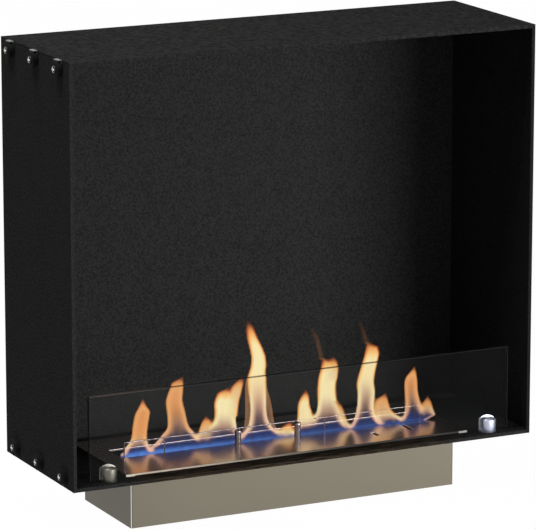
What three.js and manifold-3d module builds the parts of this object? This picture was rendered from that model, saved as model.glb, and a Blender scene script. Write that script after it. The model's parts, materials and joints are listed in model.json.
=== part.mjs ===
// Built-in bioethanol fireplace: a black sheet-steel casing, open at the front, whose floor carries a
// drop-in burner with a shuttered flame slot and a glass pane standing in two slotted holders.
// Millimetres, +Z up, front towards -Y. The origin is the centre of the casing's back face.
// Inside the frame group, y = 0 is the casing's front plane and z = 0 its lower edge.

import * as THREE from 'three';
import { mergeVertices } from 'three/addons/utils/BufferGeometryUtils.js';
import Module from 'manifold-3d';

const wasm = await Module();
wasm.setup();

// ---------------------------------------------------------------- driving dimensions

// Clearances
const seatGap = 0.3;          // between round or moving pieces that meet
const slideGap = 0.3;         // above, below and beside the shutter
const boreGap = 0.3;          // radial, between a screw and its hole
const weldOverlap = 0.5;      // depth to which joined shapes run into each other
const cutMargin = 1;          // how far a cutting shape runs past what it cuts

// Casing of folded sheet
const casingWidth = 600;
const casingDepth = 200;
const casingHeight = 500;
const casingSheet = 2;
const frontLip = 4.5;         // visible width of the folded front edges
const flangeHeight = 20;      // flanges that the left panel is screwed to
const flangeEndGap = 2;       // between a flange and the panels before and behind it

// Spacers on the left panel, in two rows
const spacerCount = 3;
const spacerPitch = 70.5;
const firstSpacerY = 26;
const upperSpacerDrop = 11;   // below the casing's top
const lowerSpacerRise = 13.5; // above the casing's lower edge
const spacerRadius = 9.75;
const spacerLength = 5.8;
const spacerChamfer = 0.8;

// Machine screws through the spacers
const spacerScrewRadius = 2.5;
const spacerHeadRadius = 4.5;
const spacerHeadHeight = 2.2;
const spacerNutRadius = 4.6;
const spacerNutHeight = 4;
const crossWidth = 1.2;
const crossLength = 5;
const crossDepth = 1.1;

// Clips under the upper spacers
const clipSheet = 1;
const clipWidth = 12.5;
const clipTab = 4;
const clipDrop = 7;           // below the screw's axis

// Burner top plate, whose rim stands out round the tank, with the flame slot in it
const plateThickness = 2.5;
const plateSideRim = 11.5;
const plateFrontRim = 12;
const plateRearRim = 9;
const slotEndInset = 14.5;    // from the tank's ends
const slotWidth = 38.5;
const slotFrontY = 90.5;
const hookSlotX = 118;
const hookSlotFrontY = 47;
const hookSlotLength = 15;
const hookSlotWidth = 5;

// Burner tank and what it holds
const tankEndInset = 86.5;    // from the casing's sides
const tankDepth = 136;
const tankFrontY = 33.5;
const tankDrop = 62.5;        // below the casing's lower edge
const tankWall = 1.5;
const tankCornerRadius = 2;
const tankCutoutGap = 2;
const traySideGap = 2;
const trayWall = 1;
const trayRimDrop = 9;        // below the top plate
const woolSideGap = 0.5;
const woolDrop = 6;           // below the tray's rim
const meshThickness = 1;
const meshHoleLength = 20;
const meshHoleWidth = 5;
const meshBridge = 8;
const meshMargin = 8;

// Shutter below the slot
const shutterSheet = 1.5;
const shutterOverlap = 3;     // over the slot's front and rear edges when closed
const shutterEndOverlap = 5;  // beyond each end of the slot
const shutterOpenGap = 1;     // in front of the slot when open
const studEndInset = 32;      // from the slot's end
const studRadius = 2;
const studFrontInset = 9.5;   // behind the shutter's front edge
const notchGap = 0.5;
const guideWall = 6;
const guideLedge = 4.5;
const guideLedgeThickness = 1.4;
const guideOverrun = 3;

// Guard rail and its posts
const railRise = 18.6;        // rail's axis above the plate
const railRadius = 0.8;
const railEndInset = 2;       // from the slot's ends
const railSlotGap = 1;        // rail's surface in front of the slot
const uprightXs = [-145, 67];
const postRadius = 4.25;
const postXs = [-50, 29];

// Bright clips at the plate's front corners
const cornerClipLength = 11.5;
const cornerClipThickness = 1.2;

// Glass pane
const glassEndInset = 25;     // from the casing's sides
const glassHeight = 100;
const glassThickness = 5;
const glassFrontY = 11;
const glassCornerRadius = 1;

// Glass holders
const holderInset = 25;       // from the glass's end to the holder's axis
const holderRadius = 10.5;
const holderHeight = 20;
const holderDomeRise = 4.5;
const holderSetback = 4.6;    // holder's axis behind the glass's front face
const holderSeat = 2.5;       // slot's bottom above the floor
const padThickness = 1;
const padLength = 14;
const padHeight = 14;
const clampScrewRise = 12;
const clampScrewRadius = 2;
const clampScrewInset = 1;
const fixScrewSetback = 6;    // behind the holder's axis
const fixScrewRadius = 2;
const fixHeadRadius = 3.6;
const fixHeadHeight = 2;
const fixScrewReach = 5;      // into the holder

// ---------------------------------------------------------------- derived sizes

const floorTop = frontLip;
const floorUnder = floorTop - casingSheet;
const innerX = casingWidth / 2 - casingSheet;
const lipX = casingWidth / 2 - frontLip;
const backInnerY = casingDepth - casingSheet;
const topUnder = casingHeight - casingSheet;
const plateTop = floorTop + plateThickness;
const tankWidth = casingWidth - 2 * tankEndInset;
const tankRearY = tankFrontY + tankDepth;
const plateWidth = tankWidth + 2 * plateSideRim;
const plateFrontY = tankFrontY - plateFrontRim;
const plateRearY = tankRearY + plateRearRim;
const slotLength = tankWidth - 2 * slotEndInset;
const slotRearY = slotFrontY + slotWidth;
const tankFloorTop = -tankDrop + tankWall;

const shutterDepth = slotWidth + 2 * shutterOverlap;
const shutterRearY = slotFrontY - shutterOpenGap;
const shutterFrontY = shutterRearY - shutterDepth;
const shutterTravel = shutterOpenGap + slotWidth + shutterOverlap;
const shutterTop = floorTop - slideGap;
const shutterUnder = shutterTop - shutterSheet;
const shutterHalfLength = slotLength / 2 + shutterEndOverlap;
const studX = slotLength / 2 - studEndInset;
const studY = shutterFrontY + studFrontInset;

const trayHalfX = tankWidth / 2 - tankWall - traySideGap;
const trayFrontY = tankFrontY + tankWall + traySideGap;
const trayRearY = tankRearY - tankWall - traySideGap;
const trayRim = floorTop - trayRimDrop;
const woolTop = trayRim - woolDrop;
const woolHalfX = trayHalfX - trayWall - woolSideGap;
const woolFrontY = trayFrontY + trayWall + woolSideGap;
const woolRearY = trayRearY - trayWall - woolSideGap;

const railHalfLength = slotLength / 2 - railEndInset;
const railY = slotFrontY - railSlotGap - railRadius;
const railZ = plateTop + railRise;
const postTop = railZ - railRadius - seatGap;
const postY = slotFrontY - postRadius - seatGap;

const glassWidth = casingWidth - 2 * glassEndInset;
const holderX = glassWidth / 2 - holderInset;
const holderY = glassFrontY + holderSetback;
const seatZ = floorTop + holderSeat;
const glassUnder = seatZ + padThickness;
const glassRearY = glassFrontY + glassThickness;
const padFrontY = glassFrontY - seatGap - padThickness;
const padRearY = glassRearY + seatGap + padThickness;
const upperSpacerZ = casingHeight - upperSpacerDrop;
const spacerRows = [
  { row: 'upper', z: upperSpacerZ, clip: clipSheet },
  { row: 'lower', z: lowerSpacerRise, clip: 0 },
];
const spacerPlaces = ['front', 'middle', 'rear'];

// ---------------------------------------------------------------- finishes

const finishes = {
  powderCoat: { color: 0x1c1d1d, roughness: 0.75, metalness: 0.1 },
  blackPlastic: { color: 0x0b0b0b, roughness: 0.5, metalness: 0 },
  zinc: { color: 0xb4b4ae, roughness: 0.35, metalness: 0.9 },
  satinSteel: { color: 0x87806f, roughness: 0.4, metalness: 0.9 },
  polishedSteel: { color: 0xb9b6b0, roughness: 0.15, metalness: 1 },
  chrome: { color: 0xd6d9de, roughness: 0.1, metalness: 1 },
  wool: { color: 0xe6e1d6, roughness: 1, metalness: 0 },
  silicone: { color: 0x202020, roughness: 0.8, metalness: 0 },
  clearGlass: { color: 0xdde6e4, roughness: 0.03, metalness: 0 },
};

// ---------------------------------------------------------------- shape helpers

function solidOf(geometry) {
  const bare = geometry.clone();
  bare.deleteAttribute('normal');
  bare.deleteAttribute('uv');
  const merged = mergeVertices(bare, 1e-4);
  const vertProperties = new Float32Array(merged.attributes.position.array);
  const triVerts = new Uint32Array(merged.index.array);
  return new wasm.Manifold(new wasm.Mesh({ numProp: 3, vertProperties, triVerts }));
}

function geometryOf(solid) {
  const { vertProperties, triVerts } = solid.getMesh();
  const geometry = new THREE.BufferGeometry();
  geometry.setAttribute('position', new THREE.BufferAttribute(vertProperties, 3));
  geometry.setIndex(new THREE.BufferAttribute(triVerts, 1));
  const flat = geometry.toNonIndexed();
  flat.computeVertexNormals();
  return flat;
}

function join(...geometries) {
  return geometryOf(geometries.map(solidOf).reduce((whole, piece) => whole.add(piece)));
}

function cut(base, ...tools) {
  return geometryOf(tools.map(solidOf).reduce((left, tool) => left.subtract(tool), solidOf(base)));
}

function box([x0, x1], [y0, y1], [z0, z1]) {
  const geometry = new THREE.BoxGeometry(x1 - x0, y1 - y0, z1 - z0);
  return geometry.translate((x0 + x1) / 2, (y0 + y1) / 2, (z0 + z1) / 2);
}

function around(middle, half) {
  return [middle - half, middle + half];
}

// A solid turned about +Z from [radius, height] points that start and end on the axis.
function turned(profile, segments) {
  const points = profile.map(([radius, height]) => new THREE.Vector2(radius, height));
  return new THREE.LatheGeometry(points, segments).rotateX(Math.PI / 2);
}

function rod(radius, [z0, z1], segments = 24) {
  return turned([[0, z0], [radius, z0], [radius, z1], [0, z1]], segments);
}

// The same along X or Y.
function rodAlongX(radius, ends, segments) {
  return rod(radius, ends, segments).rotateY(Math.PI / 2);
}

function rodAlongY(radius, [y0, y1], segments) {
  return rod(radius, [-y1, -y0], segments).rotateX(Math.PI / 2);
}

function roundedRectangle([x0, x1], [y0, y1], radius) {
  const shape = new THREE.Shape();
  shape.absarc(x1 - radius, y1 - radius, radius, 0, Math.PI / 2);
  shape.absarc(x0 + radius, y1 - radius, radius, Math.PI / 2, Math.PI);
  shape.absarc(x0 + radius, y0 + radius, radius, Math.PI, 1.5 * Math.PI);
  shape.absarc(x1 - radius, y0 + radius, radius, 1.5 * Math.PI, 2 * Math.PI);
  return shape;
}

function roundedBlock(xs, ys, [z0, z1], radius, curveSegments = 4) {
  const shape = roundedRectangle(xs, ys, radius);
  const options = { depth: z1 - z0, bevelEnabled: false, curveSegments };
  return new THREE.ExtrudeGeometry(shape, options).translate(0, 0, z0);
}

// A pan-head screw along +Z: the head's underside at z = 0, the shank below it, and a cross recess.
function panHeadScrew(headRadius, headHeight, shankRadius, shankLength) {
  const body = turned([
    [0, -shankLength],
    [shankRadius, -shankLength],
    [shankRadius, 0],
    [headRadius, 0],
    [headRadius, headHeight * 0.45],
    [headRadius * 0.8, headHeight * 0.85],
    [headRadius * 0.45, headHeight],
    [0, headHeight],
  ], 24);
  const depth = [headHeight - crossDepth, headHeight + cutMargin];
  const arm = box(around(0, crossLength / 2), around(0, crossWidth / 2), depth);
  const crossArm = box(around(0, crossWidth / 2), around(0, crossLength / 2), depth);
  return cut(body, arm, crossArm);
}

// ---------------------------------------------------------------- scene graph

const fireplace = new THREE.Group();
const frame = new THREE.Group();
frame.position.set(0, -casingDepth, -casingHeight / 2);
fireplace.add(frame);

function addPiece(parent, name, geometry, finish, position = [0, 0, 0]) {
  const mesh = new THREE.Mesh(geometry, new THREE.MeshStandardMaterial(finishes[finish]));
  mesh.name = name;
  mesh.position.set(...position);
  parent.add(mesh);
  return mesh;
}

// ---------------------------------------------------------------- casing

function spacerYs() {
  return Array.from({ length: spacerCount }, (_, i) => firstSpacerY + i * spacerPitch);
}

// Holes along X through the left panel and its flanges.
function spacerHoles(rows) {
  const ends = [-casingWidth / 2 - cutMargin, -innerX + casingSheet + cutMargin];
  return rows.flatMap(({ z }) => spacerYs().map((y) => (
    rodAlongX(spacerScrewRadius + boreGap, ends).translate(0, y, z)
  )));
}

function sidePanel(side) {
  const outer = side * casingWidth / 2;
  const sorted = (a, b) => (a < b ? [a, b] : [b, a]);
  const sheet = box(sorted(outer, side * innerX), [0, casingDepth], [0, topUnder]);
  const lip = box(sorted(outer, side * lipX), [0, casingSheet], [0, topUnder]);
  return join(sheet, lip);
}

function topPanel() {
  const sheet = box(around(0, casingWidth / 2), [0, casingDepth], [topUnder, casingHeight]);
  const lip = box(around(0, lipX), [0, casingSheet], [casingHeight - frontLip, casingHeight]);
  const flange = box(
    [-innerX, -innerX + casingSheet],
    [casingSheet + flangeEndGap, backInnerY - flangeEndGap],
    [topUnder - flangeHeight, topUnder + weldOverlap],
  );
  return cut(join(sheet, lip, flange), ...spacerHoles([spacerRows[0]]));
}

function floorPanel() {
  const sheet = box(around(0, innerX), [casingSheet, backInnerY], [floorUnder, floorTop]);
  const edge = box(around(0, lipX), [0, casingSheet + weldOverlap], [floorUnder, floorTop]);
  const lip = box(around(0, lipX), [0, casingSheet], [0, floorTop]);
  const flange = box(
    [-innerX, -innerX + casingSheet],
    [casingSheet + flangeEndGap, backInnerY - flangeEndGap],
    [floorUnder, floorTop + flangeHeight],
  );
  const burnerCutout = box(
    around(0, tankWidth / 2 + tankCutoutGap),
    [tankFrontY - tankCutoutGap, tankRearY + tankCutoutGap],
    [floorUnder - cutMargin, floorTop + cutMargin],
  );
  const fixHoles = [-holderX, holderX].map((x) => (
    rod(fixScrewRadius + boreGap, [floorUnder - cutMargin, floorTop + cutMargin])
      .translate(x, holderY + fixScrewSetback, 0)
  ));
  return cut(join(sheet, edge, lip, flange), burnerCutout, ...fixHoles, ...spacerHoles([spacerRows[1]]));
}

const casing = new THREE.Group();
frame.add(casing);
addPiece(casing, 'casing_left_side', cut(sidePanel(-1), ...spacerHoles(spacerRows)), 'powderCoat');
addPiece(casing, 'casing_right_side', sidePanel(1), 'powderCoat');
addPiece(casing, 'casing_top', topPanel(), 'powderCoat');
addPiece(casing, 'casing_floor', floorPanel(), 'powderCoat');
addPiece(
  casing,
  'casing_back',
  box(around(0, innerX), [backInnerY, casingDepth], [0, topUnder]),
  'powderCoat',
);

// ---------------------------------------------------------------- spacers on the left panel

// Each of these is built along +Z, with z = 0 on the panel's outer face, and turned to point along -X.
function spacerBushing(clip) {
  const bore = spacerScrewRadius + boreGap;
  const low = clip;
  const high = clip + spacerLength;
  const body = turned([
    [0, low],
    [spacerRadius, low],
    [spacerRadius, high - spacerChamfer],
    [spacerRadius - spacerChamfer, high],
    [0, high],
  ], 32);
  return cut(body, rod(bore, [low - cutMargin, high + cutMargin]));
}

function spacerScrew(clip) {
  const headSeat = clip + spacerLength;
  const length = headSeat + 2 * casingSheet + spacerNutHeight;
  const screw = panHeadScrew(spacerHeadRadius, spacerHeadHeight, spacerScrewRadius, length);
  return screw.translate(0, 0, headSeat);
}

function spacerNut() {
  const low = -2 * casingSheet - spacerNutHeight;
  const high = -2 * casingSheet;
  const body = rod(spacerNutRadius, [low, high], 6);
  return cut(body, rod(spacerScrewRadius + boreGap, [low - cutMargin, high + cutMargin]));
}

// A flat washer plate with its upper end folded out over the bushing. Before turning, +X is up.
function spacerClip() {
  const crown = upperSpacerDrop;
  const leg = box([-clipDrop, crown], around(0, clipWidth / 2), [0, clipSheet]);
  const tab = box([crown - clipSheet, crown], around(0, clipWidth / 2), [0, clipSheet + clipTab]);
  return cut(join(leg, tab), rod(spacerScrewRadius + boreGap, [-cutMargin, clipSheet + cutMargin]));
}

function addSpacerPiece(parent, name, geometry, finish) {
  const mesh = addPiece(parent, name, geometry, finish);
  mesh.rotation.y = -Math.PI / 2;
}

for (const { row, z, clip } of spacerRows) {
  spacerYs().forEach((y, i) => {
    const place = new THREE.Group();
    place.position.set(-casingWidth / 2, y, z);
    casing.add(place);
    const label = `${row}_${spacerPlaces[i] ?? i}`;
    addSpacerPiece(place, `spacer_${label}`, spacerBushing(clip), 'blackPlastic');
    addSpacerPiece(place, `spacer_screw_${label}`, spacerScrew(clip), 'zinc');
    addSpacerPiece(place, `spacer_nut_${label}`, spacerNut(), 'zinc');
    if (clip > 0) {
      addSpacerPiece(place, `spacer_clip_${label}`, spacerClip(), 'zinc');
    }
  });
}

// ---------------------------------------------------------------- glass and holders

function glassHolder() {
  const shoulder = holderHeight - holderDomeRise;
  const capRadius = (holderRadius ** 2 + holderDomeRise ** 2) / (2 * holderDomeRise);
  const capAngle = Math.asin(holderRadius / capRadius);
  const capSteps = 8;
  const cap = Array.from({ length: capSteps + 1 }, (_, i) => {
    const angle = capAngle * (1 - i / capSteps);
    return [capRadius * Math.sin(angle), shoulder + capRadius * (Math.cos(angle) - Math.cos(capAngle))];
  });
  const body = turned([[0, 0], [holderRadius, 0], ...cap], 48);
  const glassSlot = box(
    around(0, holderRadius + cutMargin),
    [padFrontY - holderY, padRearY - holderY],
    [holderSeat, holderHeight + cutMargin],
  );
  const clampEnds = [padRearY - holderY - cutMargin, holderRadius + cutMargin];
  const clampHole = rodAlongY(clampScrewRadius + boreGap, clampEnds).translate(0, 0, clampScrewRise);
  const fixHole = rod(fixScrewRadius + boreGap, [-cutMargin, fixScrewReach + boreGap])
    .translate(0, fixScrewSetback, 0);
  return cut(body, glassSlot, clampHole, fixHole);
}

function glassPad() {
  const lining = box(
    around(0, padLength / 2),
    [padFrontY - holderY, padRearY - holderY],
    [holderSeat, holderSeat + padHeight],
  );
  const paneRoom = box(
    around(0, padLength / 2 + cutMargin),
    [glassFrontY - seatGap - holderY, glassRearY + seatGap - holderY],
    [holderSeat + padThickness, holderSeat + padHeight + cutMargin],
  );
  return cut(lining, paneRoom);
}

function clampScrew() {
  const ends = [padRearY - holderY, holderRadius - clampScrewInset];
  return rodAlongY(clampScrewRadius, ends, 16).translate(0, 0, clampScrewRise);
}

// Pointing down: the head's seat is the floor's underside.
function holderFixScrew() {
  const length = casingSheet + fixScrewReach;
  return panHeadScrew(fixHeadRadius, fixHeadHeight, fixScrewRadius, length)
    .rotateX(Math.PI)
    .translate(0, fixScrewSetback, -casingSheet);
}

for (const [label, x] of [['left', -holderX], ['right', holderX]]) {
  const place = new THREE.Group();
  place.position.set(x, holderY, floorTop);
  casing.add(place);
  addPiece(place, `glass_holder_${label}`, glassHolder(), 'chrome');
  addPiece(place, `glass_pad_${label}`, glassPad(), 'silicone');
  addPiece(place, `glass_clamp_screw_${label}`, clampScrew(), 'zinc');
  addPiece(place, `holder_fixing_screw_${label}`, holderFixScrew(), 'zinc');
}

// Drawn as its front outline in X and Y, then stood up so that the outline lies in X and Z.
function glassPane() {
  const outline = [around(0, glassWidth / 2), [0, glassHeight], [-glassThickness, 0]];
  return roundedBlock(...outline, glassCornerRadius).rotateX(Math.PI / 2);
}

addPiece(frame, 'glass_pane', glassPane(), 'clearGlass', [0, glassFrontY, glassUnder]);

// ---------------------------------------------------------------- burner

const burner = new THREE.Group();
frame.add(burner);

function burnerTank() {
  const outside = roundedBlock(
    around(0, tankWidth / 2),
    [tankFrontY, tankRearY],
    [-tankDrop, floorTop],
    tankCornerRadius,
  );
  const inside = box(
    around(0, tankWidth / 2 - tankWall),
    [tankFrontY + tankWall, tankRearY - tankWall],
    [tankFloorTop, floorTop + cutMargin],
  );
  return cut(outside, inside);
}

function fuelTray() {
  const outside = box(around(0, trayHalfX), [trayFrontY, trayRearY], [tankFloorTop, trayRim]);
  const inside = box(
    around(0, trayHalfX - trayWall),
    [trayFrontY + trayWall, trayRearY - trayWall],
    [tankFloorTop + trayWall, trayRim + cutMargin],
  );
  return cut(outside, inside);
}

function absorberBlock() {
  return box(
    around(0, woolHalfX),
    [woolFrontY, woolRearY],
    [tankFloorTop + trayWall, woolTop],
  );
}

function meshCover() {
  const halfX = woolHalfX;
  const depth = woolRearY - woolFrontY;
  const columns = Math.floor((2 * (halfX - meshMargin) + meshBridge) / (meshHoleLength + meshBridge));
  const rows = Math.floor((depth - 2 * meshMargin + meshBridge) / (meshHoleWidth + 2 * meshBridge));
  const sheet = new THREE.Shape();
  sheet.moveTo(-halfX, -depth / 2);
  sheet.lineTo(halfX, -depth / 2);
  sheet.lineTo(halfX, depth / 2);
  sheet.lineTo(-halfX, depth / 2);
  for (let i = 0; i < columns; i += 1) {
    const x = (i - (columns - 1) / 2) * (meshHoleLength + meshBridge);
    for (let j = 0; j < rows; j += 1) {
      const y = (j - (rows - 1) / 2) * (meshHoleWidth + 2 * meshBridge);
      const hole = new THREE.Path();
      hole.moveTo(x - meshHoleLength / 2, y);
      hole.lineTo(x - meshHoleLength / 3, y + meshHoleWidth / 2);
      hole.lineTo(x + meshHoleLength / 3, y + meshHoleWidth / 2);
      hole.lineTo(x + meshHoleLength / 2, y);
      hole.lineTo(x + meshHoleLength / 3, y - meshHoleWidth / 2);
      hole.lineTo(x - meshHoleLength / 3, y - meshHoleWidth / 2);
      sheet.holes.push(hole);
    }
  }
  return new THREE.ExtrudeGeometry(sheet, { depth: meshThickness, bevelEnabled: false });
}

// The notch runs forward from the flame slot, so that the stud can carry the shutter to both its stops.
function topPlate() {
  const blank = box(around(0, plateWidth / 2), [plateFrontY, plateRearY], [floorTop, plateTop]);
  const through = [floorTop - cutMargin, plateTop + cutMargin];
  const flameSlot = box(around(0, slotLength / 2), [slotFrontY, slotRearY], through);
  const notch = box(
    around(studX, studRadius + notchGap),
    [studY - studRadius - notchGap, slotFrontY + weldOverlap],
    through,
  );
  const hookSlot = box(
    around(hookSlotX, hookSlotWidth / 2),
    [hookSlotFrontY, hookSlotFrontY + hookSlotLength],
    through,
  );
  return cut(blank, flameSlot, notch, hookSlot);
}

// An L-shaped strip below the plate, with its ledge under the shutter's end.
function shutterGuide(side) {
  const wallInner = shutterHalfLength + slideGap;
  const ledgeTop = shutterUnder - slideGap;
  const ledgeUnder = ledgeTop - guideLedgeThickness;
  const ys = [shutterFrontY - guideOverrun, shutterRearY + shutterTravel + guideOverrun];
  const sorted = (a, b) => (a < b ? [a, b] : [b, a]);
  const wall = box(sorted(side * wallInner, side * (wallInner + guideWall)), ys, [ledgeUnder, floorTop]);
  const ledge = box(
    sorted(side * (wallInner - guideLedge), side * (wallInner + weldOverlap)),
    ys,
    [ledgeUnder, ledgeTop],
  );
  return join(wall, ledge);
}

function guardRail() {
  const bar = rodAlongX(railRadius, around(0, railHalfLength), 12).translate(0, railY, railZ);
  const corners = [-railHalfLength, railHalfLength].map((x) => (
    new THREE.SphereGeometry(railRadius, 12, 8).rotateX(Math.PI / 2).translate(x, railY, railZ)
  ));
  const uprights = [-railHalfLength, ...uprightXs, railHalfLength].map((x) => (
    rod(railRadius, [plateTop, railZ], 12).translate(x, railY, 0)
  ));
  return join(bar, ...corners, ...uprights);
}

addPiece(burner, 'burner_tank', burnerTank(), 'satinSteel');
addPiece(burner, 'fuel_tray', fuelTray(), 'satinSteel');
addPiece(burner, 'absorber_block', absorberBlock(), 'wool');
addPiece(burner, 'mesh_cover', meshCover(), 'satinSteel', [0, (woolFrontY + woolRearY) / 2, woolTop]);
addPiece(burner, 'burner_top_plate', topPlate(), 'polishedSteel');
addPiece(burner, 'shutter_guide_left', shutterGuide(-1), 'satinSteel');
addPiece(burner, 'shutter_guide_right', shutterGuide(1), 'satinSteel');
addPiece(burner, 'guard_rail', guardRail(), 'polishedSteel');

for (const [i, label] of ['left', 'right'].entries()) {
  const post = rod(postRadius, [plateTop, postTop], 32);
  addPiece(burner, `rail_post_${label}`, post, 'polishedSteel', [postXs[i], postY, 0]);
}

for (const [label, side] of [['left', -1], ['right', 1]]) {
  const middle = side * (plateWidth - cornerClipLength) / 2;
  const clip = box(
    around(middle, cornerClipLength / 2),
    [plateFrontY - cornerClipThickness, plateFrontY],
    [floorTop, plateTop],
  );
  addPiece(burner, `plate_corner_clip_${label}`, clip, 'chrome');
}

// ---------------------------------------------------------------- shutter, open at rest

const shutter = new THREE.Group();
burner.add(shutter);
addPiece(
  shutter,
  'slot_shutter',
  box(around(0, shutterHalfLength), [shutterFrontY, shutterRearY], [shutterUnder, shutterTop]),
  'satinSteel',
);
addPiece(shutter, 'shutter_stud', rod(studRadius, [shutterTop, plateTop]), 'zinc', [studX, studY, 0]);

export default fireplace;
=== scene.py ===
"""Bioethanol fireplace: folded black steel casing, drop-in steel burner, glass pane and flames.

The frame has X to the right, Y to the back and Z up. Its origin is the middle of the casing's back face.
"""

import functools
import json
import math

import bmesh
import bpy
from mathutils import Matrix, Vector


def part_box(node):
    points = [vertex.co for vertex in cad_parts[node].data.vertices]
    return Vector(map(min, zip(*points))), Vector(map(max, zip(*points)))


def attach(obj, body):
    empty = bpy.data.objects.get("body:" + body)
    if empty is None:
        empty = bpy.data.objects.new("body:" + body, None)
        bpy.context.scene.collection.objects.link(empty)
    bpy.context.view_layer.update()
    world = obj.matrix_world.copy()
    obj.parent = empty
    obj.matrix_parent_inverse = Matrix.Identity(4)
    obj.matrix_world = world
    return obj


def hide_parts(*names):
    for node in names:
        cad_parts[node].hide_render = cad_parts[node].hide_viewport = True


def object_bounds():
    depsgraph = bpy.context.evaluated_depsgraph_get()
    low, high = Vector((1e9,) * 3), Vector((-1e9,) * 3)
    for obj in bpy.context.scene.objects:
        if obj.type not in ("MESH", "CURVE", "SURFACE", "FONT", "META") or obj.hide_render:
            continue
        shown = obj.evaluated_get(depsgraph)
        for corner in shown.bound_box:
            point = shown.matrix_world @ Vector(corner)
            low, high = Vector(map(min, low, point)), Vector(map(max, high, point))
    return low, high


MM = 0.001

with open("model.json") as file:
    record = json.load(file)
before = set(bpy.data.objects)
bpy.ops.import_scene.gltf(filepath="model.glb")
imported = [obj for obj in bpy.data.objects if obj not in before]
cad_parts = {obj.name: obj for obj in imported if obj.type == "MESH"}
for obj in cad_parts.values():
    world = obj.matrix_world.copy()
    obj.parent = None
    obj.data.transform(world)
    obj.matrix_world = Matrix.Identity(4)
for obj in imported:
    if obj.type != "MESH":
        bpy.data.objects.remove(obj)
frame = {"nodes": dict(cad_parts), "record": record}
cad_low, cad_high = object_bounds()
nodes = frame["nodes"]


# ---------------- sizes read from the frame

plate_low, plate_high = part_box("burner_top_plate")
tank_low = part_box("burner_tank")[0]
rail_low, rail_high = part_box("guard_rail")
glass_low, glass_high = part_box("glass_pane")
wool_low, wool_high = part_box("absorber_block")


# ---------------- finishes

class Value:
    """A number that varies over a surface. Arithmetic on it adds Math nodes to its finish."""

    def __init__(self, finish, socket):
        self.finish = finish
        self.socket = socket

    def __add__(self, other):
        return self.finish.math("ADD", self, other)

    __radd__ = __add__

    def __sub__(self, other):
        return self.finish.math("SUBTRACT", self, other)

    def __rsub__(self, other):
        return self.finish.math("SUBTRACT", other, self)

    def __mul__(self, other):
        return self.finish.math("MULTIPLY", self, other)

    __rmul__ = __mul__


class Finish:
    """A material or world under construction: its node tree, and what puts nodes in it."""

    def __init__(self, name, library=bpy.data.materials):
        self.home = library.new(name)
        self.home.use_nodes = True
        self.tree = self.home.node_tree
        self.tree.nodes.clear()

    @functools.cached_property
    def place(self):
        """Object coordinates."""
        return self.node("ShaderNodeTexCoord")["Object"]

    def node(self, kind, settings=None, values=None):
        """Adds a node of that type, with its settings first and then its sockets' values or links."""
        added = self.tree.nodes.new(kind)
        for name, setting in (settings or {}).items():
            if name == "stops":
                set_stops(added.color_ramp, setting)
            else:
                setattr(added, name, setting)
        for name, value in (values or {}).items():
            if isinstance(value, Value):
                self.tree.links.new(value.socket, added.inputs[name])
            else:
                added.inputs[name].default_value = value
        return {key: Value(self, socket) for key, socket in outputs_of(added)}

    def math(self, operation, first, second=0.0):
        return self.node("ShaderNodeMath", {"operation": operation}, {0: first, 1: second})[0]

    def noise(self, scale, detail=2.0, roughness=0.5):
        """Noise of one scale, or of a scale for each axis."""
        place = self.place
        if isinstance(scale, tuple):
            place = self.node("ShaderNodeMapping", values={"Vector": place, "Scale": scale})[0]
            scale = 1.0
        return self.node(
            "ShaderNodeTexNoise",
            values={"Vector": place, "Scale": scale, "Detail": detail, "Roughness": roughness},
        )[0]

    def along(self, axis):
        return self.node("ShaderNodeSeparateXYZ", values={0: self.place})[axis]

    def stored(self, name):
        """A value that the mesh stores at its points."""
        return self.node("ShaderNodeAttribute", {"attribute_name": name})["Fac"]

    def step(self, value, low, high):
        """0 below low, 1 above high and smooth between them."""
        return self.node(
            "ShaderNodeMapRange",
            {"interpolation_type": "SMOOTHSTEP"},
            {"Value": value, "From Min": low, "From Max": high},
        )[0]

    def mix(self, share, first, second):
        """The first colour at share 0 and the second at share 1."""
        return self.node(
            "ShaderNodeMix",
            {"data_type": "RGBA"},
            {0: share, 6: first, 7: second},
        )["Result_Color"]

    def bump(self, height, strength, distance):
        return self.node(
            "ShaderNodeBump",
            values={"Height": height, "Strength": strength, "Distance": distance},
        )[0]

    def surface(self, **sockets):
        """Ends the material in one Principled shader."""
        values = {name.replace("_", " "): value for name, value in sockets.items()}
        shader = self.node("ShaderNodeBsdfPrincipled", values=values)[0]
        self.node("ShaderNodeOutputMaterial", values={"Surface": shader})
        return self.home


def outputs_of(node):
    """A node's outputs by place, by name and, for the Mix node, by kind."""
    for i, socket in enumerate(node.outputs):
        yield i, socket
    for socket in node.outputs:
        yield socket.name, socket
        yield socket.identifier, socket


def set_stops(ramp, stops):
    """Gives a colour ramp its stops, each a place and a colour."""
    ends = (ramp.elements[0], ramp.elements[-1])
    for element, (place, colour) in zip(ends, (stops[0], stops[-1])):
        element.position = place
        element.color = colour
    for place, colour in stops[1:-1]:
        ramp.elements.new(place).color = colour


def grey(level):
    return (level, level, level, 1.0)


def tint(red, green, blue):
    return (red, green, blue, 1.0)


TANK_HIGHLIGHT_SPAN = (0.77 * MM, 1.1 * MM)  # over which the painted highlight on the tank's front left corner ends
PLATE_HIGHLIGHT_SPAN = (1.0 * MM, 1.6 * MM)  # over which the painted highlight and shade on the plate's front edge end
HIGHLIGHT_FADE = 0.4  # of the way from the middle to the right, where the edge's painted highlight has turned into painted shade
REFLECTION_BLEND = 0.2  # to either side of the middle, where the painted reflections on chrome and clips pass from the left's to the right's
GLASS_RIM = 1.0 * MM
GLASS_HIGHLIGHT_FADE = (20 * MM, 160 * MM)  # from the pane's left end, over which the painted highlight on its upper edge fades to dark


def from_edge(finish, axis, edge, span):
    """0 at an edge and 1 beyond a span from it along an axis."""
    return finish.step(finish.along(axis), edge + span[0], edge + span[1])


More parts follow.
